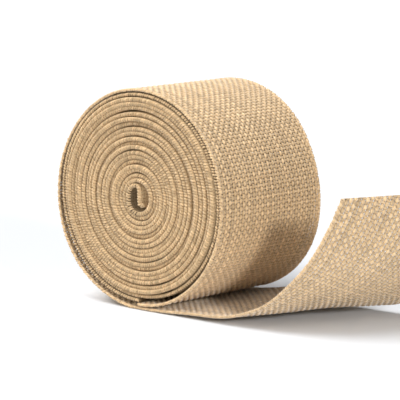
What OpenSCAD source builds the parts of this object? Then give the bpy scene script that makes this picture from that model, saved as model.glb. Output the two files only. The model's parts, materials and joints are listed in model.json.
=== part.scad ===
// Coreless roll of woven jute ribbon. It stands on its rim, and its outer end lies along the floor and
// curls up. One strip makes the whole roll: the sub-parts are lengths of it, cut where it bends or slips.
// +Y runs along the roll's axis, +X towards the free end, +Z up. The origin is on the floor below the axis.

/* [Ribbon] */
// Width of the ribbon from selvedge to selvedge
ribbon_w = 76; // [50:1:100]
// Thickness of the woven cloth
cloth_t = 1.6; // [1.2:0.1:1.8]
// Air between one wound layer and the next
layer_gap = 0.66; // [0.4:0.02:0.9]
// Clearance between lengths of ribbon that slip past each other
slip_gap = 0.3; // [0.2:0.05:0.4]

/* [Roll] */
// Number of turns in the tight part of the roll, without the loose outer turn
tight_turns = 19; // [12:1:21]
// Radius of the hollow at the end of the innermost turn
eye_r = 7; // [6.5:0.1:8.5]
// Depth by which the roll's weight flattens it on the floor
foot_sag = 0.35; // [0.1:0.05:0.6]
// Share of the tight part's first turn that is truly round
round_share = 0.8; // [0.3:0.05:0.85]
// Amount by which that share falls from each turn to the next one inwards
round_fade = 0.1; // [0.05:0.01:0.2]
// Angle over which the loose outer turn draws in from the floor to the tight part
draw_in = 150; // [90:10:300]

/* [Free end] */
// Distance from the axis to the fold line where the ribbon starts to lift, square to that line
lift_at = 53; // [45:1:70]
// Angle between the fold line and the roll's axis
curl_skew = 27; // [10:1:32]
// Radius of the curl, at the middle of the cloth
curl_r = 54; // [40:1:70]
// Angle through which the curl turns
curl_turn = 100; // [60:1:110]
// Gap in the cloth at each fold line and at the joint of the inner end
fold_gap = 0.5; // [0.4:0.05:0.6]

/* [Inner end] */
// Bend up the left side of the eye, as a share of the hollow's radius
eye_side_share = 0.97; // [0.92:0.01:1]
// Bend over the top of the eye, as a share of the hollow's radius
eye_top_share = 0.74; // [0.7:0.01:0.8]
// Radius of the bend from the top of the eye into the tongue
tongue_bend_r = 2.2; // [2:0.1:2.6]
// Straight rise on the left side of the eye
eye_rise = 2; // [1:0.5:3]
// Straight drop of the tongue through the middle of the eye
tongue_drop = 5.6; // [4:0.2:7]
// Radius of the hook at the end of the tongue
hook_r = 1.9; // [1.6:0.1:2.2]
// Angle through which the hook turns
hook_turn = 130; // [90:5:150]

/* [Hidden] */
jute = "#c9a777";
jute_shade = "#b8925f";
jute_light = "#d9bd92";

// Steps of the outlines
turn_steps = 72;
curl_steps = 6;
bend_step = 15;

// Lengths of ribbon
curl_parts = 4;
half_w = ribbon_w / 2;
half_t = cloth_t / 2;
layer_pitch = cloth_t + layer_gap;

// The roll, from the eye outwards
tight_r = eye_r + cloth_t + tight_turns * layer_pitch;
outer_end_r = tight_r + slip_gap + half_t;
outer_start_r = outer_end_r + cloth_t + slip_gap + foot_sag;
axis_z = outer_start_r + half_t - foot_sag;

// The free end
fold_dir = [sin(curl_skew), cos(curl_skew), 0];
out_dir = [cos(curl_skew), -sin(curl_skew), 0];
part_turn = curl_turn / curl_parts;
part_len = curl_r * part_turn * PI / 180;

function two(n) = n < 10 ? str("0", n) : str(n);
function turn_name(n) = str("turn_", two(n + 1));
function curl_name(n) = str("tail_curl_", n);

// Point at a radius and at an angle from the bottom, clockwise as seen from the front.
function around(r, angle) = [-r * sin(angle), axis_z - r * cos(angle)];

// Radius of the cloth's middle in the loose outer turn
function outer_r(angle) = outer_end_r + (outer_start_r - outer_end_r) * max(0, 1 - angle / draw_in);

// Inward drop of the cloth in the tight part, in layers, after a number of turns. Each turn is round for a
// share of its way and then drops one layer. The share falls to nothing, so that the inner turns are an even
// spiral.
function share_of(turn) = max(0, round_share - turn * round_fade);
function layers_in(turns) =
    let (
        whole = floor(turns + 1e-9),
        part = max(0, turns - whole),
        share = share_of(whole)
    )
    whole + max(0, (part - share) / (1 - share));
function tight_mid_r(turns) = tight_r - half_t - layers_in(turns) * layer_pitch;

// A point that doesn't go below a height
function lifted(p, low) = [p[0], max(p[1], low)];

// Extrudes an outline in the X-Z plane over the ribbon's width.
module across() {
    translate([0, half_w, 0])
        rotate([90, 0, 0])
            linear_extrude(ribbon_w)
                children();
}

// A length of cloth between the points on its inner face and those on its outer face
module cloth_outline(inner, outer) {
    across()
        polygon(concat(outer, [for (i = [len(inner) - 1:-1:0]) inner[i]]));
}

module outer_turn() {
    angles = [for (i = [0:turn_steps]) 360 * i / turn_steps];
    inner = [for (a = angles) lifted(around(outer_r(a) - half_t, a), cloth_t)];
    outer = [for (a = angles) lifted(around(outer_r(a) + half_t, a), 0)];
    color(jute_light) cloth_outline(inner, outer);
}

// Stretch of the tight part between two counts of turns
module tight_stretch(from, to) {
    steps = max(2, round((to - from) * turn_steps));
    at = [for (i = [0:steps]) from + (to - from) * i / steps];
    inner = [for (k = at) around(tight_mid_r(k) - half_t, 360 * k)];
    outer = [for (k = at) around(tight_mid_r(k) + half_t, 360 * k)];
    cloth_outline(inner, outer);
}

// The truly round stretch at the outside of the tight part, which the roll turns on
module round_stretch() {
    translate([0, half_w, axis_z])
        rotate([90, 0, 0])
            rotate_extrude(angle = 360 * round_share, start = -90 - 360 * round_share, $fn = 180)
                translate([tight_r - cloth_t, 0])
                    square([cloth_t, ribbon_w]);
}

module tight_turn(n) {
    end_gap = slip_gap / (2 * PI * tight_mid_r(n));
    color(n % 2 == 0 ? jute : jute_shade)
        if (n == 1) {
            round_stretch();
            tight_stretch(round_share, 1 - end_gap);
        } else {
            tight_stretch(n - 1, n - end_gap);
        }
}

// The flat part of the free end: square to the axis at the roll, and cut along the fold line
module tail_flat() {
    function fold_x(y) = (lift_at - fold_gap / 2 + y * sin(curl_skew)) / cos(curl_skew);
    color(jute_light)
        linear_extrude(cloth_t)
            polygon([[0, -half_w], [fold_x(-half_w), -half_w], [fold_x(half_w), half_w], [0, half_w]]);
}

// Point of the curl: u is the way along the cloth square to the fold lines, side is -1 or 1 for the near or
// the far selvedge, and off is the height above the middle of the cloth.
function curl_point(u, side, off) =
    let (
        bend = max(0, u - lift_at) / curl_r * 180 / PI,
        along = (u + side * half_w * sin(curl_skew)) / cos(curl_skew),
        fold_way = along * sin(curl_skew) + side * half_w * cos(curl_skew),
        out_way = min(u, lift_at) + (curl_r - off) * sin(bend)
    )
    fold_way * fold_dir + out_way * out_dir + [0, 0, half_t + curl_r - (curl_r - off) * cos(bend)];

// One length of the curl, between two fold lines
module tail_curl(n) {
    from = lift_at + (n - 1) * part_len + fold_gap / 2;
    to = lift_at + n * part_len - (n == curl_parts ? 0 : fold_gap / 2);
    rings = [for (i = [0:curl_steps]) let (u = from + (to - from) * i / curl_steps) [
        curl_point(u, -1, -half_t),
        curl_point(u, 1, -half_t),
        curl_point(u, 1, half_t),
        curl_point(u, -1, half_t)
    ]];
    last = 4 * curl_steps;
    sides = [
        for (i = [0:curl_steps - 1], k = [0:3])
            let (a = 4 * i + k, b = 4 * i + (k + 1) % 4)
                [a, a + 4, b + 4, b]
    ];
    color(jute_light)
        polyhedron(
            points = [for (ring = rings, p = ring) p],
            faces = concat([[0, 1, 2, 3]], sides, [[last + 3, last + 2, last + 1, last]]),
            convexity = 4
        );
}

// Points and headings along a bend of the cloth. A left turn is positive.
function bend_points(start, heading, r, turn) =
    let (
        side = sign(turn),
        centre = start + r * side * [-sin(heading), cos(heading)],
        steps = ceil(abs(turn) / bend_step)
    )
    [for (i = [0:steps]) let (h = heading + turn * i / steps) [centre - r * side * [-sin(h), cos(h)], h]];

function last_of(list) = list[len(list) - 1];

// Outline of cloth along a list of [point, heading]
module cloth_along(way) {
    cloth_outline(
        [for (p = way) p[0] - half_t * [-sin(p[1]), cos(p[1])] + [0, axis_z]],
        [for (p = way) p[0] + half_t * [-sin(p[1]), cos(p[1])] + [0, axis_z]]
    );
}

eye_start = [0, -tight_mid_r(tight_turns)];
up_left = bend_points(eye_start, 180, eye_r * eye_side_share, -90);
over = bend_points(last_of(up_left)[0] + [0, eye_rise], 90, eye_r * eye_top_share, -90);
hinge_at = last_of(over)[0];
down = bend_points(hinge_at + [fold_gap / 2, 0], 0, tongue_bend_r, -90);
hook = bend_points(last_of(down)[0] - [0, tongue_drop], -90, hook_r, hook_turn);

module eye_turn() {
    before_hinge = [for (i = [0:len(over) - 2]) over[i]];
    last_point = [hinge_at - [fold_gap / 2, 0], 0];
    color(jute_shade) cloth_along(concat(up_left, before_hinge, [last_point]));
}

module inner_end() {
    color(jute_light) cloth_along(concat(down, hook));
}

outer_turn();
tail_flat();
for (n = [1:curl_parts])
    tail_curl(n);
for (n = [1:tight_turns])
    tight_turn(n);
eye_turn();
inner_end();
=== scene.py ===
"""Coreless roll of woven jute ribbon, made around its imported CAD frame.

The cloth is woven flat, yarn by yarn, and each length is then wound on to the path that the frame gives.
"""

import json
import math

import bmesh
import bpy
import numpy as np
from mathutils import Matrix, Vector


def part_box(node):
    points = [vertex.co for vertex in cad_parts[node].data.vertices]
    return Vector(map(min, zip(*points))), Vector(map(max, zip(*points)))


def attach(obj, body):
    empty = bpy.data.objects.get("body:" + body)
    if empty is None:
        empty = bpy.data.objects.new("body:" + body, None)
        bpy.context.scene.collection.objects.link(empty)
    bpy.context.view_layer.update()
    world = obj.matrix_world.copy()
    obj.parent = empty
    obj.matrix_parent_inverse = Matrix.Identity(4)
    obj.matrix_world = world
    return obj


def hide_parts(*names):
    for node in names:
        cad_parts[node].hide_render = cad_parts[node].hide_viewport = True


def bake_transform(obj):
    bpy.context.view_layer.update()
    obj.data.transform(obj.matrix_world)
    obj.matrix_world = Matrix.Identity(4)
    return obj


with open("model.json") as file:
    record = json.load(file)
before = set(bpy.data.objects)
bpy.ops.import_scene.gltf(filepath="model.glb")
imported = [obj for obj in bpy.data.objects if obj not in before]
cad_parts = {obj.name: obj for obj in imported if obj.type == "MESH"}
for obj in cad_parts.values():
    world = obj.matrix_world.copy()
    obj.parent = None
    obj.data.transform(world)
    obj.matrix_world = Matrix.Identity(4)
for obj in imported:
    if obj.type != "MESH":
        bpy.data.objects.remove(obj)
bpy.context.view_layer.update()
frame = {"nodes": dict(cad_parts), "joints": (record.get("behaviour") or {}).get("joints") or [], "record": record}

bl_info = {
    "name": "Jute ribbon roll",
    "version": (1, 0, 0),
    "blender": (4, 5, 0),
    "location": "View3D > Sidebar > Ribbon roll",
    "description": "Weaves a jute ribbon and winds it into a coreless roll with a curled free end",
    "category": "Add Mesh",
}

MM = 0.001


# ---------------- the frame's own sizes

def joint(name):
    return next(j for j in frame["joints"] if j["name"] == name)


def low(node):
    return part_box(node)[0]


def high(node):
    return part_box(node)[1]


TURN_NODES = sorted(n for n in frame["nodes"] if n.startswith("turn_"))
CURL_NODES = sorted(n for n in frame["nodes"] if n.startswith("tail_curl_"))
BODY_OF = {
    node: body
    for body, nodes in frame["record"]["behaviour"]["bodies"].items()
    for node in nodes
}

RIBBON_W = high("tail_flat")[1] - low("tail_flat")[1]
CLOTH_T = high("tail_flat")[2] - low("tail_flat")[2]
HALF_W = RIBBON_W / 2
HALF_T = CLOTH_T / 2
AXIS_Z = joint("roll_turn")["pos_m"][2]

# The tight part: each turn is round for a share of its way and then drops a layer. The share falls to
# nothing from one turn to the next.
TIGHT_R = -low(TURN_NODES[0])[0]
LAYER_PITCH = low(TURN_NODES[2])[0] - low(TURN_NODES[1])[0]
TIGHT_TURNS = len(TURN_NODES)
ROUND_SHARE = 0.8
ROUND_FADE = 0.1
EYE_MID_R = TIGHT_R - HALF_T - TIGHT_TURNS * LAYER_PITCH

# The loose outer turn: it draws in from the floor, and is round from there on
DRAW_IN = 150 / 360
OUTER_END_R = high("outer_turn")[2] - AXIS_Z - HALF_T
OUTER_FALL = (-low("outer_turn")[0] - HALF_T - OUTER_END_R) / (1 - 0.25 / DRAW_IN)

# The free end: fold lines turned from the roll's axis, and a curl of one radius
FOLD_DIR = -np.array(joint("tail_curl")["axis"], float)
OUT_DIR = np.array([FOLD_DIR[1], -FOLD_DIR[0], 0.0])
FIRST_FOLD, NEXT_FOLD = (np.array(joint(name)["pos_m"], float) for name in ("tail_curl", "tail_curl_2"))
LIFT_AT = float(FIRST_FOLD @ OUT_DIR)
FOLD_CHORD = NEXT_FOLD - FIRST_FOLD
PART_TURN = 2 * math.atan2(FOLD_CHORD[2], FOLD_CHORD @ OUT_DIR)
CURL_R = float(np.linalg.norm(FOLD_CHORD)) / (2 * math.sin(PART_TURN / 2))
PART_LEN = CURL_R * PART_TURN
CURL_END = LIFT_AT + len(CURL_NODES) * PART_LEN
SKEW_SIN, SKEW_COS = float(FOLD_DIR[0]), float(FOLD_DIR[1])


# ---------------- settings a user would change

def measure(name, description, millimetres):
    """A length that a user may change"""
    return bpy.props.FloatProperty(
        name=name, description=description, default=millimetres * MM, unit="LENGTH",
    )


def colour_setting(name, description, red, green, blue):
    """A colour that a user may change"""
    return bpy.props.FloatVectorProperty(
        name=name, description=description, subtype="COLOR", size=4, min=0, max=1,
        default=(red, green, blue, 1),
    )


class WeaveSettings(bpy.types.PropertyGroup):
    """Sizes of the cloth"""

    yarn_pitch: measure("Yarn pitch", "Distance from one yarn to the next, both ways", 1.95)
    warp_half_width: measure("Warp half width", "Half the width of a lengthwise yarn", 0.9)
    weft_half_width: measure("Weft half width", "Half the width of a crosswise yarn", 0.54)
    yarn_half_thickness: measure("Yarn half thickness", "Half the thickness of a yarn", 0.39)
    warp_crimp: measure("Warp crimp", "Height of a lengthwise yarn's waves above the cloth's middle", 0.42)
    weft_crimp: measure("Weft crimp", "Height of a crosswise yarn's waves above the cloth's middle", 0.12)
    wander: measure("Wander", "How far a yarn strays from its straight line", 0.16)
    slub: bpy.props.FloatProperty(
        name="Slub", description="Share by which a yarn's thickness varies along it",
        default=0.28, min=0, max=1, subtype="FACTOR",
    )
    edge_half_width: measure("Selvedge half width", "Half the width of the selvedge's stitches", 0.8)
    edge_half_height: measure("Selvedge half height", "Half the height of the selvedge's stitches", 0.7)
    outer_edge_half_height: measure(
        "Outer selvedge half height", "The same for the outer turn and the free end", 0.33
    )
    edge_yarn_radius: measure("Selvedge yarn radius", "Radius of the yarn that binds the selvedge", 0.5)
    wrap_pitch: measure("Selvedge stitch pitch", "Distance from one selvedge stitch to the next", 1.4)
    looseness: measure("Looseness", "Scale of the wound layers' drift from the even spiral", 0.22)
    edge_stray: measure("Edge stray", "Scale of the wound layers' drift along the roll's axis", 0.9)


class JuteSettings(bpy.types.PropertyGroup):
    """Colours of the cloth"""

    light: colour_setting("Light fibre", "Colour of the palest fibres", 0.73, 0.54, 0.315)
    middle: colour_setting("Fibre", "Colour of most fibres", 0.53, 0.352, 0.182)
    # The dark colour is also the colour of the painted shade deep in the weave.
    dark: colour_setting("Dark fibre", "Colour of the darkest fibres", 0.25, 0.15, 0.062)


class StageSettings(bpy.types.PropertyGroup):
    """Camera and floor"""

    azimuth: bpy.props.FloatProperty(
        name="Azimuth", description="Direction of the camera round the roll, in degrees", default=41.0,
    )
    elevation: bpy.props.FloatProperty(
        name="Elevation", description="Height of the camera above the horizon, in degrees", default=8.63,
    )
    distance: measure("Distance", "Distance of the camera from the middle of the roll's axis", 1005)
    lens: bpy.props.FloatProperty(
        name="Lens", description="Focal length of the camera, in millimetres", default=180.5,
    )
    aim_right: measure("Aim right", "How far right of the roll's middle the camera aims", 6.0)
    aim_down: measure("Aim down", "How far below the roll's middle the camera aims", 5.2)
    floor: colour_setting("Floor", "Colour of the floor", 0.73, 0.75, 0.78)


# ---------------- small node helpers

def put(tree, kind, links=None, **settings):
    """Adds a node, sets its properties and fills its inputs from sockets or plain values."""
    node = tree.nodes.new(kind)
    for name, value in settings.items():
        setattr(node, name, value)
    for key, value in (links or {}).items():
        socket = node.inputs[key]
        if isinstance(value, bpy.types.NodeSocket):
            tree.links.new(value, socket)
        else:
            socket.default_value = value
    return node


def first_of(tree, kind, links=None, **settings):
    """The first result of a new node"""
    return put(tree, kind, links, **settings).outputs[0]


def sums_in(tree):
    """Short forms of the sums in one tree: add, subtract, multiply, divide, sine and cosine"""
    def form(operation):
        return lambda *values: first_of(tree, "ShaderNodeMath", dict(enumerate(values)), operation=operation)

    return [form(word) for word in ("ADD", "SUBTRACT", "MULTIPLY", "DIVIDE", "SINE", "COSINE")]


def vector(tree, **parts):
    return first_of(tree, "ShaderNodeCombineXYZ", parts)


def noise_of(tree, spot, scale, detail):
    return put(
        tree, "ShaderNodeTexNoise",
        {"Vector": spot, "Scale": scale, "Detail": detail}, noise_dimensions="3D",
    ).outputs


def geometry_tree(name, numbers, counts):
    """A geometry tree with named inputs and a material. Returns it with its input and output nodes."""
    tree = bpy.data.node_groups.new(name, "GeometryNodeTree")
    kinds = {label: "NodeSocketFloat" for label in numbers}
    kinds.update({label: "NodeSocketInt" for label in counts})
    kinds["Material"] = "NodeSocketMaterial"
    for label, kind in kinds.items():
        tree.interface.new_socket(label, in_out="INPUT", socket_type=kind)
    tree.interface.new_socket("Geometry", in_out="OUTPUT", socket_type="NodeSocketGeometry")
    return tree, tree.nodes.new("NodeGroupInput").outputs, tree.nodes.new("NodeGroupOutput")


def store(tree, geometry, name, kind, value):
    return first_of(
        tree, "GeometryNodeStoreNamedAttribute",
        {"Geometry": geometry, "Name": name, "Value": value}, data_type=kind, domain="POINT",
    )


def points_of(tree):
    """Position, and its X"""
    here = tree.nodes.new("GeometryNodeInputPosition").outputs[0]
    return here, first_of(tree, "ShaderNodeSeparateXYZ", {0: here})


def straight_line(tree, length, points):
    """A line along X with evenly spaced points"""
    line = first_of(tree, "GeometryNodeCurvePrimitiveLine", {"End": vector(tree, X=length)})
    return first_of(tree, "GeometryNodeResampleCurve", {"Curve": line, "Count": points})


def strays(tree, spot, scale):
    """Three uneven values round 0 at a place"""
    three = noise_of(tree, spot, scale, 1.0)["Color"]
    off = first_of(tree, "ShaderNodeVectorMath", {0: three, 1: (0.5, 0.5, 0.5)}, operation="SUBTRACT")
    return put(tree, "ShaderNodeSeparateXYZ", {0: off}).outputs


def swept(tree, curves, section):
    upright = first_of(tree, "GeometryNodeSetCurveNormal", {0: curves}, mode="Z_UP")
    return first_of(
        tree, "GeometryNodeCurveToMesh", {"Curve": upright, "Profile Curve": section, "Fill Caps": True}
    )


def finish_tree(tree, geometry, material, out, smooth=True):
    whole = first_of(tree, "GeometryNodeRealizeInstances", {0: geometry})
    if smooth:
        whole = first_of(tree, "GeometryNodeSetShadeSmooth", {0: whole})
    done = first_of(tree, "GeometryNodeSetMaterial", {"Geometry": whole, "Material": material})
    tree.links.new(done, out.inputs[0])


def yarn_tubes(tree, curves, half_width, half_thickness, sides):
    """Sweeps a flattened round section along yarns, and notes each point's middle and its way round."""
    noted = store(tree, curves, "middle", "FLOAT_VECTOR", points_of(tree)[0])
    ring = first_of(
        tree, "GeometryNodeCurvePrimitiveCircle", {"Resolution": sides, "Radius": 1.0}, mode="RADIUS"
    )
    turn = put(tree, "GeometryNodeSplineParameter").outputs["Factor"]
    ring = store(tree, ring, "round", "FLOAT", turn)
    wide = vector(tree, X=half_width, Y=half_thickness, Z=1.0)
    ring = first_of(tree, "GeometryNodeTransform", {"Geometry": ring, "Scale": wide})
    return swept(tree, noted, ring)


# ---------------- geometry trees

# Scales of the noise of a yarn's drift, its swelling and the selvedge's stitches, per metre
DRIFT_SCALE = 70.0
SWELL_SCALE = 190.0
STITCH_SCALE = 420.0
# Step in the noise from one yarn to the next
SEED_STEP = 7.31


def build_yarn_tree():
    """Parallel yarns along X, side by side along Y, each waving over and under the yarns that cross it"""
    tree, given, out = geometry_tree(
        "Woven yarns",
        numbers=(
            "First Yarn", "Spacing", "Length", "Start", "Crossing Pitch", "First Crossing", "Parity",
            "Crimp", "Half Width", "Half Thickness", "Wander", "Slub", "Seed",
        ),
        counts=("Yarns", "Points", "Sides"),
    )
    plus, minus, times, divided, _, cosine = sums_in(tree)
    starts = first_of(
        tree, "GeometryNodeMeshLine",
        {"Count": given["Yarns"], "Offset": vector(tree, Y=given["Spacing"])}, mode="OFFSET",
    )
    index = tree.nodes.new("GeometryNodeInputIndex").outputs[0]
    starts = store(tree, starts, "yarn", "FLOAT", plus(index, given["First Yarn"]))
    line = straight_line(tree, given["Length"], given["Points"])
    many = first_of(tree, "GeometryNodeInstanceOnPoints", {"Points": starts, "Instance": line})
    many = first_of(tree, "GeometryNodeRealizeInstances", {0: many})

    x = plus(points_of(tree)[1], given["Start"])
    yarn = first_of(tree, "GeometryNodeInputNamedAttribute", {"Name": "yarn"}, data_type="FLOAT")
    crossing = divided(minus(x, given["First Crossing"]), given["Crossing Pitch"])
    phase = plus(plus(crossing, yarn), given["Parity"])
    lift = times(cosine(times(phase, math.pi)), given["Crimp"])

    along = vector(tree, X=x, Y=plus(times(yarn, SEED_STEP), given["Seed"]), Z=0.0)
    drift = strays(tree, along, DRIFT_SCALE)
    sway = times(times(drift[1], 4.0), given["Wander"])
    heave = times(drift[2], given["Wander"])
    offset = vector(tree, Y=sway, Z=plus(lift, heave))
    waved = first_of(tree, "GeometryNodeSetPosition", {"Geometry": many, "Offset": offset})

    uneven = noise_of(tree, along, SWELL_SCALE, 1.5)[0]
    thick = plus(times(minus(uneven, 0.5), times(given["Slub"], 2.0)), 1.0)
    sized = first_of(tree, "GeometryNodeSetCurveRadius", {"Curve": waved, "Radius": thick})
    tubes = yarn_tubes(tree, sized, given["Half Width"], given["Half Thickness"], given["Sides"])
    finish_tree(tree, tubes, given["Material"], out)
    return tree


def build_edge_tree():
    """A yarn that winds round a selvedge along X, in uneven stitches"""
    tree, given, out = geometry_tree(
        "Selvedge stitches",
        numbers=(
            "Length", "Start", "Wrap Pitch", "Half Width", "Half Height", "Yarn Radius", "Hand",
            "Unevenness", "Seed",
        ),
        counts=("Points", "Sides"),
    )
    plus, _, times, divided, sine, cosine = sums_in(tree)
    line = straight_line(tree, given["Length"], given["Points"])
    x = plus(points_of(tree)[1], given["Start"])
    wraps = divided(x, given["Wrap Pitch"])
    stitch = first_of(tree, "ShaderNodeMath", {0: wraps}, operation="FLOOR")
    line = store(tree, line, "yarn", "FLOAT", stitch)
    turn = times(wraps, 2 * math.pi)
    push = strays(tree, vector(tree, X=x, Y=given["Seed"]), STITCH_SCALE)
    uneven = times(given["Unevenness"], 2.0)
    wide = times(given["Half Width"], plus(times(push[0], uneven), 1.0))
    out_by = times(cosine(turn), wide)
    up_by = times(sine(turn), times(given["Half Height"], given["Hand"]))
    along_by = times(times(push[1], uneven), given["Half Height"])
    offset = vector(tree, X=along_by, Y=out_by, Z=up_by)
    wound = first_of(tree, "GeometryNodeSetPosition", {"Geometry": line, "Offset": offset})
    swell = plus(times(push[2], uneven), 1.0)
    sized = first_of(tree, "GeometryNodeSetCurveRadius", {"Curve": wound, "Radius": swell})
    tubes = yarn_tubes(tree, sized, given["Yarn Radius"], given["Yarn Radius"], given["Sides"])
    finish_tree(tree, tubes, given["Material"], out)
    return tree


def build_band_tree():
    """A plain band of cloth along X"""
    tree, given, out = geometry_tree(
        "Cloth band", numbers=("Length", "Width", "Thickness"), counts=("Points",)
    )
    line = straight_line(tree, given["Length"], given["Points"])
    section = first_of(
        tree, "GeometryNodeCurvePrimitiveQuadrilateral",
        {"Width": given["Width"], "Height": given["Thickness"]}, mode="RECTANGLE",
    )
    finish_tree(tree, swept(tree, line, section), given["Material"], out, smooth=False)
    return tree


def grown(tree, values):
    """Runs a geometry tree with these values and returns its result as a plain mesh object."""
    host = added("growing", bpy.data.meshes.new("growing"))
    modifier = host.modifiers.new("Grow", "NODES")
    modifier.node_group = tree
    sockets = {s.name: s.identifier for s in tree.interface.items_tree if s.in_out == "INPUT"}
    for name, value in values.items():
        modifier[sockets[name]] = value
    bpy.context.view_layer.update()
    ready = host.evaluated_get(bpy.context.evaluated_depsgraph_get())
    mesh = bpy.data.meshes.new_from_object(ready)
    if not mesh.polygons:
        raise RuntimeError(f"{tree.name}: nothing was made")
    host.modifiers.remove(modifier)
    bpy.data.objects.remove(host)
    return mesh


# ---------------- where the cloth lies

# Ways along the strip: 0 is below the roll's axis, the free end is positive, the wound part is negative.
# Flat places are (way along, place across, height), and height points to the roll's middle.

class WoundPath:
    """Middle line of wound cloth in the X-Z plane, by the way along the strip"""

    def __init__(self, points, start):
        points = np.array(points, float)
        steps = np.linalg.norm(np.diff(points, axis=0), axis=1)
        way = start - np.concatenate([[0.0], np.cumsum(steps)])
        self.way = way[::-1]
        self.points = points[::-1]
        self.along = np.gradient(self.points, self.way, axis=0)
        self.start, self.end = start, float(way[-1])

    def lay(self, way, across, height):
        x, z = (np.interp(way, self.way, self.points[:, i]) for i in (0, 1))
        ax, az = (np.interp(way, self.way, self.along[:, i]) for i in (0, 1))
        size = np.hypot(ax, az)
        return np.stack([x - az / size * height, across, z + ax / size * height], 1)


def ring_points(radius_at, from_turn, to_turn, steps_per_turn=720):
    steps = max(2, round((to_turn - from_turn) * steps_per_turn) + 1)
    turns = np.linspace(from_turn, to_turn, steps)
    angle = 2 * math.pi * turns
    radius = radius_at(turns)
    return np.stack([-radius * np.sin(angle), AXIS_Z - radius * np.cos(angle)], 1)


def waves(place, *terms):
    """Smooth uneven line: a sum of (size, waves per unit, shift) terms"""
    return sum(size * np.sin(2 * math.pi * (rate * place + shift)) for size, rate, shift in terms)


def bump(place, size, middle, reach):
    """A smooth rise and fall"""
    return size * np.cos(np.clip((place - middle) / reach, -1, 1) * math.pi / 2) ** 2


def outer_radius(turns):
    return OUTER_END_R + OUTER_FALL * np.maximum(1 - turns / DRAW_IN, 0)


def tight_radius(turns, looseness):
    whole = np.floor(turns + 1e-9)
    share = np.maximum(ROUND_SHARE - whole * ROUND_FADE, 0)
    layers = whole + np.maximum((turns - whole - share) / (1 - share), 0)
    slack = waves(turns, (0.8, 0.37, 0.1), (0.6, 0.23, 0.55), (0.5, 0.61, 0.3))
    free = np.clip(turns / 2, 0, 1) * np.clip(TIGHT_TURNS - turns, 0, 1)
    return TIGHT_R - HALF_T - LAYER_PITCH * layers + looseness * slack * free


def bend(points, centre, radius, from_angle, to_angle, steps=48):
    """Adds an arc to a list of points. Angles are measured from +X towards +Z."""
    for angle in np.linspace(from_angle, to_angle, steps):
        points.append([centre[0] + radius * math.cos(angle), centre[1] + radius * math.sin(angle)])


def outer_path():
    points = ring_points(outer_radius, 0, 1)
    points[:, 1] = np.maximum(points[:, 1], HALF_T)
    return WoundPath(points, 0.0)


def tight_path(start, looseness):
    return WoundPath(ring_points(lambda t: tight_radius(t, looseness), 0, TIGHT_TURNS), start)


def way_at_turn(path, turn):
    """Way along a tight path at a whole or half count of turns"""
    turns = np.linspace(TIGHT_TURNS, 0, len(path.way))
    return float(np.interp(-turn, -turns, path.way))


def turns_at_way(path, way):
    return np.interp(way, path.way, np.linspace(TIGHT_TURNS, 0, len(path.way)))


TONGUE_BEND_R = 2.2 * MM
HOOK_R = 1.9 * MM
HOOK_TURN = math.radians(130)


def eye_paths(start):
    """Middle lines of the last bend round the eye and of the tongue beyond its joint"""
    hinge = joint("inner_end_bend")["pos_m"]
    side_r = -low("eye_turn")[0] - HALF_T
    top_r = hinge[0] + side_r
    low_z = AXIS_Z - EYE_MID_R
    eye = []
    bend(eye, (0.0, low_z + side_r), side_r, -math.pi / 2, -math.pi)
    bend(eye, (hinge[0], hinge[2] - top_r), top_r, math.pi, math.pi / 2)
    first = WoundPath(eye, start)
    hook_z = low("inner_end")[2] + HALF_T + HOOK_R
    tongue = []
    bend(tongue, (hinge[0], hinge[2] - TONGUE_BEND_R), TONGUE_BEND_R, math.pi / 2, 0.0)
    hook_x = hinge[0] + TONGUE_BEND_R + HOOK_R
    bend(tongue, (hook_x, hook_z), HOOK_R, math.pi, math.pi + HOOK_TURN)
    return first, WoundPath(tongue, first.end)


# Lift of the free end's two selvedges off the floor: size, way along where it is greatest, and reach
NEAR_LIFT = (2.0 * MM, 46 * MM, 42 * MM)
FAR_LIFT = (6.5 * MM, 60 * MM, 52 * MM)


def lay_tail(way, across, height):
    """Puts flat cloth on the free end's path: flat at first, then curled about the slanted fold lines."""
    u = way * SKEW_COS - across * SKEW_SIN
    beside = way * SKEW_SIN + across * SKEW_COS
    turned = np.maximum(u - LIFT_AT, 0) / CURL_R
    ripple = waves(way + 0.35 * across, (0.22 * MM, 14.0, 0.2), (0.16 * MM, 31.0, 0.6))
    height = height + ripple * np.clip((u - LIFT_AT) / PART_LEN, 0, 1)
    far_share = np.clip(across / RIBBON_W + 0.5, 0, 1)
    height = height + bump(way, *NEAR_LIFT) * (1 - far_share)
    height = height + bump(way, *FAR_LIFT) * far_share ** 1.5
    out = np.minimum(u, LIFT_AT) + (CURL_R - height) * np.sin(turned)
    rise = HALF_T + CURL_R - (CURL_R - height) * np.cos(turned)
    flat = beside[:, None] * FOLD_DIR[None] + out[:, None] * OUT_DIR[None]
    flat[:, 2] = rise
    return flat


# ---------------- meshes

def vertex_array(mesh):
    co = np.empty(len(mesh.vertices) * 3)
    mesh.vertices.foreach_get("co", co)
    return co.reshape(-1, 3)


def vertex_values(mesh, name):
    attribute = mesh.attributes[name]
    is_vector = attribute.data_type == "FLOAT_VECTOR"
    values = np.empty(len(mesh.vertices) * (3 if is_vector else 1), np.float32)
    attribute.data.foreach_get("vector" if is_vector else "value", values)
    return values.reshape(-1, 3) if is_vector else values


def set_vertices(mesh, co):
    mesh.vertices.foreach_set("co", co.astype(np.float32).ravel())
    mesh.update()


def set_values(mesh, name, values):
    attribute = mesh.attributes.get(name) or mesh.attributes.new(name, "FLOAT", "POINT")
    attribute.data.foreach_set("value", values.astype(np.float32))


def moved(mesh, along, across=0.0):
    set_vertices(mesh, vertex_array(mesh) + np.array([along, across, 0.0]))


def laid(mesh, lay):
    co = vertex_array(mesh)
    set_vertices(mesh, lay(co[:, 0], co[:, 1], co[:, 2]))


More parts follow.
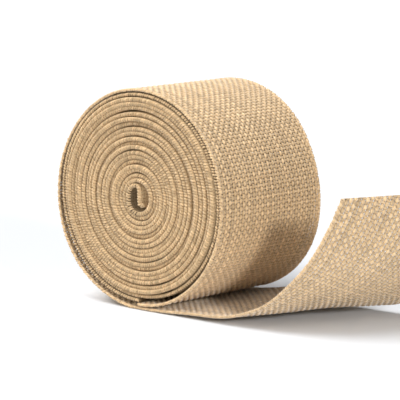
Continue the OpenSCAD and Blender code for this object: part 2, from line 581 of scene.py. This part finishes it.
def joined(meshes):
    """One mesh of several. The first one is kept."""
    bm = bmesh.new()
    for mesh in meshes:
        bm.from_mesh(mesh)
    bm.to_mesh(meshes[0])
    bm.free()
    return meshes[0]


def cut_between(mesh, start, end):
    """A copy of flat cloth between two slanted lines, with its cut yarns closed. A line may be None."""
    bm = bmesh.new()
    bm.from_mesh(mesh)
    normal = Vector((SKEW_COS, -SKEW_SIN, 0))
    for line, side in ((start, -1), (end, 1)):
        if line is None:
            continue
        everything = bm.verts[:] + bm.edges[:] + bm.faces[:]
        bmesh.ops.bisect_plane(
            bm, geom=everything, dist=1e-9, clear_outer=True,
            plane_co=normal * line, plane_no=normal * side,
        )
        rim = [e for e in bm.edges if e.is_boundary]
        for face in bmesh.ops.holes_fill(bm, edges=rim, sides=0)["faces"]:
            face.smooth = False
    out = bpy.data.meshes.new("cut")
    for material in mesh.materials:
        out.materials.append(material)
    bm.to_mesh(out)
    bm.free()
    return out


# The map for baking, in shares of its width: the yarns' sides with a margin round them, then the cut ends
SIDE_SHARE = 0.94
SIDE_MARGIN = 0.04
END_MIDDLE = 0.965
END_STEP = 0.015
END_RADIUS = 0.006
# In shares of a row's height: below the sides, the sides, and an end's radius
ROW_FOOT = 0.06
ROW_SHARE = 0.88
END_HEIGHT = 0.3
# The way round a yarn that a row has room for: faces at the seam reach past a whole turn
MOST_ROUND = 1.2
# Largest length along the yarn of a face that closes its end
END_DEPTH = 1.2 * MM


def map_for_baking(mesh, way, rows, row_length, yarn_rows):
    """Lays each yarn out straight, in its own rows, in a map without overlaps, with its ends at the right"""
    rounds = vertex_values(mesh, "round")
    count = len(mesh.loops)
    corner_vertex = np.empty(count, int)
    mesh.loops.foreach_get("vertex_index", corner_vertex)
    first = np.empty(len(mesh.polygons), int)
    mesh.polygons.foreach_get("loop_start", first)
    face_of = np.repeat(np.arange(len(first)), np.diff(np.append(first, count)))
    around = rounds[corner_vertex]
    least = np.minimum.reduceat(around, first)[face_of]
    most = np.maximum.reduceat(around, first)[face_of]
    around = np.where((most - least > 0.5) & (around < 0.5), around + 1, around)
    place = way[corner_vertex]
    near = np.minimum.reduceat(place, first)
    far = np.maximum.reduceat(place, first)
    middle = (near + far)[face_of] / 2
    if yarn_rows is None:
        row = np.floor(near / row_length)[face_of]
        place = place - row * row_length
    else:
        row = yarn_rows[corner_vertex[first]][face_of]
    corners = np.diff(np.append(first, count))[face_of]
    u = SIDE_MARGIN / 2 + (SIDE_SHARE - SIDE_MARGIN) * np.clip(place / row_length, 0, 1.02)
    v = (row + ROW_FOOT + ROW_SHARE * np.clip(around, 0, MOST_ROUND) / MOST_ROUND) / rows
    is_end = (most - least > 0.6) & (corners > 4) & (np.abs((far - near)[face_of]) < END_DEPTH)
    end_u = END_MIDDLE + np.where(middle < row_length / 2, 0.0, END_STEP)
    turn = 2 * math.pi * around
    u = np.where(is_end, end_u + END_RADIUS * np.cos(turn), u)
    v = np.where(is_end, (row + 0.5 + END_HEIGHT * np.sin(turn)) / rows, v)
    layer = mesh.uv_layers.new(name="OFBake")
    layer.data.foreach_set("uv", np.stack([u, v], 1).astype(np.float32).ravel())


def added(name, data):
    """A new object in the scene"""
    thing = bpy.data.objects.new(name, data)
    bpy.context.scene.collection.objects.link(thing)
    return thing


def shown(name, mesh, material):
    """A finished piece at the origin. It keeps one material."""
    mesh.name = name
    mesh.materials.clear()
    mesh.materials.append(material)
    piece = added(name, mesh)
    return piece


# ---------------- materials

# How fast a yarn's fibres wind round it, in radians per metre
FIBRE_TWIST = 760.0
# Scales of the fibres' noise: across a yarn, along a metre of it, and from one yarn to the next
FIBRE_ACROSS = 1.5
FIBRE_ALONG = 260.0
YARN_STEP = 3.7
# Scale of the noise of a yarn's slow patches, per metre
PATCH_ALONG = 34.0


def shader_tree(name, numbers, results):
    """A shader group of three colours and some numbers, with a colour and some numbers as its results"""
    tree = bpy.data.node_groups.new(name, "ShaderNodeTree")
    sockets = [("INPUT", "NodeSocketColor", label) for label in ("Light", "Middle", "Dark")]
    sockets += [("INPUT", "NodeSocketFloat", label) for label in numbers]
    sockets += [("OUTPUT", "NodeSocketColor", "Color")]
    sockets += [("OUTPUT", "NodeSocketFloat", label) for label in results]
    for way, kind, label in sockets:
        tree.interface.new_socket(label, in_out=way, socket_type=kind)
    return tree, tree.nodes.new("NodeGroupInput").outputs, tree.nodes.new("NodeGroupOutput").inputs


def spread(tree, value, low, high, to_low, to_high):
    """A value that runs from to_low to to_high as another runs from low to high"""
    return first_of(
        tree, "ShaderNodeMapRange",
        {"Value": value, "From Min": low, "From Max": high, "To Min": to_low, "To Max": to_high},
    )


def mixed(tree, factor, a, b, blend="MIX"):
    """Two colours mixed"""
    return put(
        tree, "ShaderNodeMix", {0: factor, 6: a, 7: b}, data_type="RGBA", blend_type=blend
    ).outputs[2]


def build_jute_group():
    """Colour, roughness and height of a jute yarn, from its number and the places along it and round it"""
    tree, given, out = shader_tree("Jute yarn", numbers=(), results=("Roughness", "Height"))
    plus, _, times, _, sine, cosine = sums_in(tree)

    def value_of(name):
        return put(tree, "ShaderNodeAttribute", attribute_name=name).outputs["Fac"]

    along = value_of("along")
    yarn = value_of("yarn")
    twist = plus(times(value_of("round"), 2 * math.pi), times(along, FIBRE_TWIST))
    yarn_spot = times(yarn, YARN_STEP)
    fibre_spot = vector(
        tree, X=times(cosine(twist), FIBRE_ACROSS), Y=times(sine(twist), FIBRE_ACROSS),
        Z=plus(times(along, FIBRE_ALONG), yarn_spot),
    )
    fibres = noise_of(tree, fibre_spot, 2.6, 3.0)[0]
    slow = noise_of(tree, vector(tree, X=times(along, PATCH_ALONG), Y=yarn_spot), 1.0, 2.0)[0]
    flecks = noise_of(tree, fibre_spot, 0.9, 1.0)[0]
    tone = first_of(tree, "ShaderNodeTexWhiteNoise", {"W": yarn}, noise_dimensions="1D")

    colour = mixed(tree, spread(tree, fibres, 0.36, 0.64, 0.0, 1.0), given["Middle"], given["Light"])
    in_patches = times(spread(tree, slow, 0.42, 0.78, 0.0, 0.55), spread(tree, fibres, 0.35, 0.6, 1.0, 0.4))
    in_flecks = spread(tree, flecks, 0.66, 0.74, 0.0, 0.6)
    # Painted shade: darker where a yarn lies deep in the weave, near the cloth's middle.
    painted_recess_shade = spread(tree, value_of("rise"), 0.05 * MM, 0.52 * MM, 0.75, 0.0)
    for dark_share in (in_patches, in_flecks, painted_recess_shade):
        colour = mixed(tree, dark_share, colour, given["Dark"])
    yarn_tone = spread(tree, tone, 0.0, 1.0, 0.78, 1.14)
    grey = first_of(tree, "ShaderNodeCombineColor", {0: yarn_tone, 1: yarn_tone, 2: yarn_tone})
    tree.links.new(mixed(tree, 1.0, colour, grey, "MULTIPLY"), out["Color"])
    tree.links.new(spread(tree, fibres, 0.3, 0.7, 0.94, 0.8), out["Roughness"])
    tree.links.new(fibres, out["Height"])
    return tree


def build_cloth_group():
    """Colour and height of woven jute without modelled yarns, from each point's place on the flat cloth"""
    tree, given, out = shader_tree("Jute cloth", numbers=("Pitch",), results=("Height",))
    plus, _, times, divided, _, cosine = sums_in(tree)
    spot = put(tree, "ShaderNodeAttribute", attribute_name="flat_place").outputs["Vector"]
    x, y = put(tree, "ShaderNodeSeparateXYZ", {0: spot}).outputs[:2]
    crossings = (divided(x, given["Pitch"]), divided(y, given["Pitch"]))

    def ridge(crossing):
        wave = cosine(times(crossing, math.pi))
        return first_of(tree, "ShaderNodeMath", {0: wave}, operation="ABSOLUTE")

    first, second = (cosine(times(plus(crossing, 0.5), math.pi)) for crossing in crossings)
    on_top = first_of(
        tree, "ShaderNodeMath", {0: times(first, second), 1: 0.0}, operation="GREATER_THAN"
    )
    ridges = {0: on_top, 2: ridge(crossings[0]), 3: ridge(crossings[1])}
    height = first_of(tree, "ShaderNodeMix", ridges, data_type="FLOAT")
    fine = noise_of(tree, spot, 900.0, 3.0)[0]
    slow = noise_of(tree, spot, 60.0, 2.0)[0]
    colour = mixed(tree, fine, given["Middle"], given["Light"])
    # Painted shade: darker between the yarns' ridges, where the weave dips.
    colour = mixed(tree, spread(tree, height, 0.0, 0.7, 0.75, 0.0), colour, given["Dark"])
    colour = mixed(tree, spread(tree, slow, 0.5, 0.8, 0.0, 0.5), colour, given["Dark"])
    tree.links.new(colour, out["Color"])
    tree.links.new(plus(height, times(fine, 0.4)), out["Height"])
    return tree


def plain_material(name):
    """A new material, with its node tree and its main shader"""
    material = bpy.data.materials.new(name)
    material.use_nodes = True
    tree = material.node_tree
    return material, tree, next(n for n in tree.nodes if n.type == "BSDF_PRINCIPLED")


def jute_material(name, group, settings, shade, relief, sheen, pitch=None):
    """A matt material around a jute group. shade darkens or lightens the three colours."""
    material, tree, shader = plain_material(name)
    jute = put(tree, "ShaderNodeGroup", node_tree=group)
    for label in ("Light", "Middle", "Dark"):
        colour = getattr(settings, label.lower())
        jute.inputs[label].default_value = [c * shade for c in colour[:3]] + [1.0]
    if pitch is not None:
        jute.inputs["Pitch"].default_value = pitch
    tree.links.new(jute.outputs["Color"], shader.inputs["Base Color"])
    if "Roughness" in jute.outputs:
        tree.links.new(jute.outputs["Roughness"], shader.inputs["Roughness"])
    else:
        shader.inputs["Roughness"].default_value = 0.9
    normal = first_of(
        tree, "ShaderNodeBump", {"Strength": 0.6, "Distance": relief, "Height": jute.outputs["Height"]}
    )
    tree.links.new(normal, shader.inputs["Normal"])
    shader.inputs["Specular IOR Level"].default_value = 0.25
    shader.inputs["Sheen Weight"].default_value = sheen
    shader.inputs["Sheen Roughness"].default_value = 0.5
    return material


class Kit:
    """Trees and materials that the operators share, made once"""

    def __init__(self, scene):
        jute = scene.jute_settings
        pitch = scene.weave_settings.yarn_pitch
        self.yarns = build_yarn_tree()
        self.edges = build_edge_tree()
        self.band = build_band_tree()
        yarn_group = build_jute_group()
        cloth_group = build_cloth_group()
        # Lighter and darker copies of one jute, one for each part: their shade factors paint the light and shade
        # that falls on each part.
        self.outer = jute_material("Jute, outer turn", yarn_group, jute, 1.2, 0.16 * MM, 0.55)
        self.wound = jute_material("Jute, selvedge", yarn_group, jute, 1.04, 0.2 * MM, 0.25)
        self.tail = jute_material("Jute, free end", yarn_group, jute, 1.12, 0.16 * MM, 0.8)
        self.core = jute_material("Jute, wound cloth", cloth_group, jute, 0.8, 0.35 * MM, 0.1, pitch)
        # A dark copy of the wound cloth: painted shade for cloth that lies in shadow, the first tight turn seen
        # through the outer turn's weave and the eye's last bend.
        self.shaded = jute_material("Jute, shaded cloth", cloth_group, jute, 0.3, 0.35 * MM, 0.0, pitch)


KIT = {}


def kit(scene):
    if "made" not in KIT:
        KIT["made"] = Kit(scene)
    return KIT["made"]


# ---------------- woven cloth

# Thickness of a wound layer where its yarns aren't made one by one, and the length of its steps
GROUND_T = 1.8 * MM
GROUND_STEP = 3 * MM
EYE_STEP = 0.8 * MM
# Length of yarn in one stitch of the selvedge
STITCH_LENGTH = 4.4 * MM
# In the map for baking, a selvedge's rows times themselves, as a share of its stitches
ROW_SHAPE = 1.7
# Keeps the last point of a selvedge in the last row
INSIDE_ROW = 0.9999
# Seeds of the unevenness, and the number that sets crosswise yarns apart from lengthwise ones
WARP_SEED = 3.0
WEFT_SEED = 57.0
EDGE_SEED = 10.0
WEFT_NUMBERS = 1000


class Cloth:
    """Grows flat cloth from the weave settings"""

    points_per_crossing = 3
    yarn_sides = 6
    wrap_points = 9
    edge_sides = 5

    def __init__(self, scene):
        self.set = scene.weave_settings
        self.kit = kit(scene)
        self.edge_line = HALF_W - self.set.edge_half_width - self.set.edge_yarn_radius
        self.warps = int(2 * self.edge_line / self.set.yarn_pitch) + 1
        self.warp_pitch = 2 * self.edge_line / (self.warps - 1)

    def yarns(self, half_width, material, values):
        """Grows parallel yarns along X"""
        crossings = values["Length"] / values["Crossing Pitch"]
        return grown(self.kit.yarns, {
            "Points": int(round(crossings * self.points_per_crossing)) + 1,
            "Half Width": half_width,
            "Half Thickness": self.set.yarn_half_thickness,
            "Wander": self.set.wander,
            "Slub": self.set.slub,
            "Sides": self.yarn_sides,
            "Material": material,
            **values,
        })

    def note_rise(self, mesh):
        """Notes how far each point lies from the cloth's middle. The yarn material paints shade on what lies deep
        in the weave.
        """
        set_values(mesh, "rise", np.abs(vertex_array(mesh)[:, 2]))

    def warp_yarns(self, start, end, material, fullness=1.0):
        """Lengthwise yarns between two ways along the strip. fullness scales their width."""
        mesh = self.yarns(self.set.warp_half_width * fullness, material, {
            "Yarns": self.warps,
            "First Yarn": 0.0,
            "Spacing": self.warp_pitch,
            "Length": end - start,
            "Start": start,
            "Crossing Pitch": self.set.yarn_pitch,
            "First Crossing": self.set.yarn_pitch / 2,
            "Parity": 0.0,
            "Crimp": self.set.warp_crimp,
            "Seed": WARP_SEED,
        })
        set_values(mesh, "along", vertex_values(mesh, "middle")[:, 0] + start)
        way = vertex_values(mesh, "along") - start
        map_for_baking(mesh, way, self.warps, end - start, vertex_values(mesh, "yarn"))
        self.note_rise(mesh)
        moved(mesh, start, -self.edge_line)
        return mesh

    def weft_yarns(self, start, end, material, fullness=1.0):
        """Crosswise yarns between two ways along the strip, at each whole pitch and a half"""
        pitch = self.set.yarn_pitch
        first = math.ceil(start / pitch - 0.5 - 1e-6)
        count = math.floor(end / pitch - 0.5 - 1e-6) - first + 1
        length = 2 * self.edge_line
        mesh = self.yarns(self.set.weft_half_width * fullness, material, {
            "Yarns": count,
            "First Yarn": float(first),
            "Spacing": pitch,
            "Length": length,
            "Start": 0.0,
            "Crossing Pitch": self.warp_pitch,
            "First Crossing": 0.0,
            "Parity": float(self.warps % 2),
            "Crimp": self.set.weft_crimp,
            "Seed": WEFT_SEED,
        })
        along = vertex_values(mesh, "middle")[:, 0]
        yarn = vertex_values(mesh, "yarn")
        set_values(mesh, "along", along)
        map_for_baking(mesh, along, count, length, yarn - first)
        set_values(mesh, "yarn", yarn + WEFT_NUMBERS)
        self.note_rise(mesh)
        laid(mesh, lambda x, y, z: np.stack([y, -x, z], 1))
        moved(mesh, (first + 0.5) * pitch, self.edge_line)
        return mesh

    def selvedges(self, start, end, material, half_height):
        """The yarns that wind round the two selvedges between two ways along the strip, as one mesh"""
        weave = self.set
        wraps = (end - start) / weave.wrap_pitch
        rows = max(1, int(math.sqrt(wraps * ROW_SHAPE)))
        made = []
        for side in (-1, 1):
            mesh = grown(self.kit.edges, {
                "Length": end - start,
                "Start": start,
                "Points": int(round(wraps * self.wrap_points)) + 1,
                "Wrap Pitch": weave.wrap_pitch,
                "Half Width": weave.edge_half_width,
                "Half Height": half_height,
                "Yarn Radius": weave.edge_yarn_radius,
                "Hand": float(side),
                "Unevenness": 1.0,
                "Sides": self.edge_sides,
                "Seed": EDGE_SEED + side,
                "Material": material,
            })
            way = vertex_values(mesh, "middle")[:, 0]
            set_values(mesh, "along", (way + start) / weave.wrap_pitch * STITCH_LENGTH)
            map_for_baking(mesh, way * INSIDE_ROW, rows, (end - start) / rows, None)
            # A rise this large keeps the selvedge free of the painted recess shade.
            set_values(mesh, "rise", np.full(len(mesh.vertices), CLOTH_T))
            moved(mesh, start, side * self.edge_line)
            made.append(mesh)
        return joined(made)

    def ground(self, start, end, material, step):
        """The plain cloth between the selvedges, where it is hidden by the layers outside it"""
        mesh = grown(self.kit.band, {
            "Length": end - start,
            "Points": int((end - start) / step) + 2,
            "Width": 2 * self.edge_line + self.set.edge_half_width,
            "Thickness": GROUND_T,
            "Material": material,
        })
        moved(mesh, start)
        flat = mesh.attributes.new("flat_place", "FLOAT_VECTOR", "POINT")
        flat.data.foreach_set("vector", vertex_array(mesh).astype(np.float32).ravel())
        return mesh


def wind(cloth, name, node, start, end, lay, material, edge_half_height, step, bend_between=None):
    """Makes one length of wound cloth with its selvedges. It follows the node's body, or, when bend_between is
    given, keeps its laid shape with no body."""
    meshes = {
        "selvedge": (cloth.selvedges(start, end, cloth.kit.wound, edge_half_height), cloth.kit.wound),
        "cloth": (cloth.ground(start, end, material, step), material),
    }
    pieces = {}
    for part, (mesh, look) in meshes.items():
        laid(mesh, lay)
        pieces[part] = shown(f"{name}_{part}", mesh, look)
        if bend_between is None:
            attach(pieces[part], BODY_OF[node])
        else:
            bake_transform(pieces[part])
    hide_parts(node)


# Where the outer turn stands off the round: size, share of the turn where it is greatest, and how far it
# reaches to each side of that. The first is the same all across, and the others grow towards the near and
# the far selvedge.
SLACK = (1.1 * MM, 0.22, 0.2)
NEAR_BULGE = (0.5 * MM, 0.15, 0.12)
FAR_BULGE = (3.4 * MM, 0.85, 0.18)
# Least distance that it stands off, with waves along it
RIPPLE = 0.2 * MM


class ROLL_OT_outer_turn(bpy.types.Operator):
    """Weaves the loose outer turn in two lengths: the last quarter, by the floor, and the rest"""

    bl_idname = "ribbon_roll.outer_turn"
    bl_label = "Weave the outer turn"

    def execute(self, context):
        cloth = Cloth(context.scene)
        path = outer_path()
        pitch = cloth.set.yarn_pitch
        split = round(path.end / 4 / pitch) * pitch
        stray = cloth.set.edge_stray

        def lay(way, across, height):
            depth = way / path.end
            across = across + stray * waves(depth, (0.7, 0.7, 0.0), (0.35, 1.6, 0.0))
            free = np.clip((depth - 0.03) / 0.1, 0, 1) * np.clip((1 - depth) / 0.06, 0, 1)
            far_share = across / RIBBON_W + 0.5
            out_by = RIPPLE * (1 + waves(depth, (1.0, 2.3, 0.0), (0.5, 5.2, 0.0)))
            out_by += bump(depth, *SLACK)
            out_by += bump(depth, *NEAR_BULGE) * (1 - far_share)
            out_by += bump(depth, *FAR_BULGE) * far_share
            return path.lay(way, across, height - out_by * free)

        def finished(name, mesh):
            laid(mesh, lay)
            piece = shown(name, mesh, cloth.kit.outer)
            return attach(piece, BODY_OF["outer_turn"])

        edge_height = cloth.set.outer_edge_half_height
        edge = finished("outer_turn_selvedge", cloth.selvedges(path.end, 0.0, cloth.kit.outer, edge_height))
        for label, start, end in (("foot", split, 0.0), ("top", path.end, split)):
            warp = finished(f"outer_turn_{label}_warp", cloth.warp_yarns(start, end, cloth.kit.outer))
            weft = finished(f"outer_turn_{label}_weft", cloth.weft_yarns(start, end, cloth.kit.outer))
            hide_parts("outer_turn")
        return {"FINISHED"}


# Width of the free end's yarns, as a share of the outer turn's: light doesn't open up its weave.
FREE_END_FULLNESS = 1.08


class ROLL_OT_free_end(bpy.types.Operator):
    """Weaves the free end, and cuts it along slanted lines where it bends"""

    bl_idname = "ribbon_roll.free_end"
    bl_label = "Weave the free end"

    def execute(self, context):
        cloth = Cloth(context.scene)
        far_way = (CURL_END + HALF_W * SKEW_SIN) / SKEW_COS + cloth.set.yarn_pitch
        edge_height = cloth.set.outer_edge_half_height
        whole = {
            "warp": cloth.warp_yarns(0.0, far_way, cloth.kit.tail, FREE_END_FULLNESS),
            "weft": cloth.weft_yarns(0.0, far_way, cloth.kit.tail, FREE_END_FULLNESS),
            "selvedge": cloth.selvedges(0.0, far_way, cloth.kit.tail, edge_height),
        }
        folds = [LIFT_AT + k * PART_LEN for k in range(len(CURL_NODES))]
        cuts = [None] + [fold - PART_LEN / 2 for fold in folds] + [CURL_END]
        names = ["tail_flat"] + CURL_NODES
        for k, name in enumerate(names):
            start, end = cuts[k], cuts[k + 1]
            pieces = {}
            for part, mesh in whole.items():
                cut = cut_between(mesh, start, end)
                laid(cut, lay_tail)
                pieces[part] = shown(f"{name}_{part}", cut, cloth.kit.tail)
                if k == 0:
                    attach(pieces[part], BODY_OF[name])
                else:
                    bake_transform(pieces[part])
            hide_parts(name)
        for mesh in whole.values():
            bpy.data.meshes.remove(mesh)
        return {"FINISHED"}


# Height of the selvedge on the first tight turn, as a share of the others: it slides in the outer turn.
FIRST_TURN_EDGE = 0.75


class ROLL_OT_wound_turns(bpy.types.Operator):
    """Winds the tight turns. The left half of a turn that starts a new body is a piece of its own, with no body.
    """

    bl_idname = "ribbon_roll.wound_turns"
    bl_label = "Wind the tight turns"

    def execute(self, context):
        cloth = Cloth(context.scene)
        path = tight_path(outer_path().end, cloth.set.looseness)
        stray = cloth.set.edge_stray

        def lay(way, across, height):
            turns = turns_at_way(path, way)
            shift = stray * waves(turns, (0.6, 0.29, 0.2), (0.5, 0.53, 0.7), (0.3, 0.11, 0.4))
            fade = np.clip(TIGHT_TURNS - turns, 0, 1)
            return path.lay(way, across + shift * fade, height)

        last_body = None
        for n, node in enumerate(TURN_NODES):
            body = BODY_OF[node]
            stretches = [("", n, n + 1, None)]
            if last_body not in (None, body):
                foot, top = ((0.0, 0.0, AXIS_Z + up * (TIGHT_R - n * LAYER_PITCH)) for up in (-1, 1))
                stretches = [
                    ("_left", n, n + 0.5, (last_body, body, foot, top)),
                    ("_right", n + 0.5, n + 1, None),
                ]
            # The first tight turn gets the dark cloth: painted shade where it shows through the outer turn's
            # weave.
            material = cloth.kit.core if n else cloth.kit.shaded
            edge_height = cloth.set.edge_half_height * (1 if n else FIRST_TURN_EDGE)
            for label, from_turn, to_turn, bend_between in stretches:
                start, end = way_at_turn(path, to_turn), way_at_turn(path, from_turn)
                wind(
                    cloth, f"{node}{label}", node, start, end, lay, material,
                    edge_height, GROUND_STEP, bend_between,
                )
            last_body = body
        return {"FINISHED"}


class ROLL_OT_eye(bpy.types.Operator):
    """Winds the last bend round the eye, and the inner end that hangs into it"""

    bl_idname = "ribbon_roll.eye"
    bl_label = "Wind the eye"

    def execute(self, context):
        cloth = Cloth(context.scene)
        tight = tight_path(outer_path().end, cloth.set.looseness)
        eye, tongue = eye_paths(tight.end)
        hinge = joint("inner_end_bend")["pos_m"]
        bent = (hinge[0] + TONGUE_BEND_R, hinge[1], hinge[2] - TONGUE_BEND_R)
        tongue_bend = (BODY_OF["eye_turn"], BODY_OF["inner_end"], hinge, bent)
        for node, path, material, bend_between in (
            # The eye's last bend gets the dark cloth: painted shade deep in the eye.
            ("eye_turn", eye, cloth.kit.shaded, None),
            ("inner_end", tongue, cloth.kit.core, tongue_bend),
        ):
            wind(
                cloth, node, node, path.end, path.start, path.lay, material,
                cloth.set.edge_half_height, EYE_STEP, bend_between,
            )
        return {"FINISHED"}


# ---------------- stage

FLOOR_REACH = 6.0
SKY_STRENGTH = 0.11


def soft_sun(name, towards, strength, degrees):
    """A broad, even light from a direction, like a large softbox far off. degrees is how wide it looks."""
    light = bpy.data.lights.new(name, "SUN")
    light.energy = strength
    light.angle = math.radians(degrees)
    added(name, light).rotation_euler = (-towards).to_track_quat("-Z", "Y").to_euler()


def flat_plane(name, corners, material):
    mesh = bpy.data.meshes.new(name)
    mesh.from_pydata(corners, [], [(0, 1, 2, 3)])
    mesh.materials.append(material)
    return added(name, mesh)


class ROLL_OT_stage(bpy.types.Operator):
    """Sets the floor, the soft lights and the camera"""

    bl_idname = "ribbon_roll.stage"
    bl_label = "Set the stage"

    def execute(self, context):
        scene = context.scene
        values = scene.stage_settings
        pale, _, shader = plain_material("Pale floor")
        shader.inputs["Base Color"].default_value = values.floor
        shader.inputs["Roughness"].default_value = 0.8
        corners = [(x * FLOOR_REACH, y * FLOOR_REACH, 0) for x, y in ((-1, -1), (1, -1), (1, 1), (-1, 1))]
        floor = flat_plane("floor", corners, pale)

        world = bpy.data.worlds.new("Studio")
        world.use_nodes = True
        sky = world.node_tree.nodes["Background"]
        sky.inputs["Color"].default_value = (1.0, 1.0, 1.0, 1.0)
        sky.inputs["Strength"].default_value = SKY_STRENGTH
        scene.world = world

        azimuth, elevation = math.radians(values.azimuth), math.radians(values.elevation)
        level = math.cos(elevation)
        back = Vector((math.sin(azimuth) * level, -math.cos(azimuth) * level, math.sin(elevation)))
        middle = Vector((0, 0, AXIS_Z))
        eye = middle + back * values.distance
        right = Vector((math.cos(azimuth), math.sin(azimuth), 0))
        up = back.cross(right)
        aim = middle + right * values.aim_right - up * values.aim_down
        camera = bpy.data.cameras.new("Camera")
        camera.lens = values.lens
        camera.clip_start = 0.01
        holder = added("Camera", camera)
        holder.location = eye
        holder.rotation_euler = (aim - eye).to_track_quat("-Z", "Y").to_euler()
        scene.camera = holder

        overhead = Vector((0.0, 0.0, 1.0))
        soft_sun("top", overhead - right * 0.55 - back * 0.15, strength=3.65, degrees=50)
        soft_sun("right", Vector((1.0, -0.35, 0.36)), strength=1.7, degrees=9)
        soft_sun("left", back * 0.75 - right * 0.6 + overhead * 0.4, strength=1.58, degrees=60)
        scene.view_settings.view_transform = "Standard"
        return {"FINISHED"}


class ROLL_PT_panel(bpy.types.Panel):
    """Sizes, colours and the steps that make the roll"""

    bl_label = "Ribbon roll"
    bl_idname = "ROLL_PT_panel"
    bl_space_type = "VIEW_3D"
    bl_region_type = "UI"
    bl_category = "Ribbon roll"

    def draw(self, context):
        for group in SETTINGS:
            settings = getattr(context.scene, group)
            box = self.layout.box()
            for name in settings.bl_rna.properties.keys():
                if name not in ("rna_type", "name"):
                    box.prop(settings, name)
        for step in STEPS:
            self.layout.operator(step.bl_idname)


SETTINGS = {
    "weave_settings": WeaveSettings,
    "jute_settings": JuteSettings,
    "stage_settings": StageSettings,
}
STEPS = (ROLL_OT_outer_turn, ROLL_OT_free_end, ROLL_OT_wound_turns, ROLL_OT_eye, ROLL_OT_stage)
CLASSES = (*SETTINGS.values(), *STEPS, ROLL_PT_panel)


def register():
    for item in CLASSES:
        bpy.utils.register_class(item)
    for name, kind in SETTINGS.items():
        setattr(bpy.types.Scene, name, bpy.props.PointerProperty(type=kind))


def unregister():
    for name in SETTINGS:
        delattr(bpy.types.Scene, name)
    for item in reversed(CLASSES):
        bpy.utils.unregister_class(item)


def main():
    register()
    bpy.ops.ribbon_roll.outer_turn()
    bpy.ops.ribbon_roll.free_end()
    bpy.ops.ribbon_roll.wound_turns()
    bpy.ops.ribbon_roll.eye()
    bpy.ops.ribbon_roll.stage()


if __name__ == "__main__":
    main()
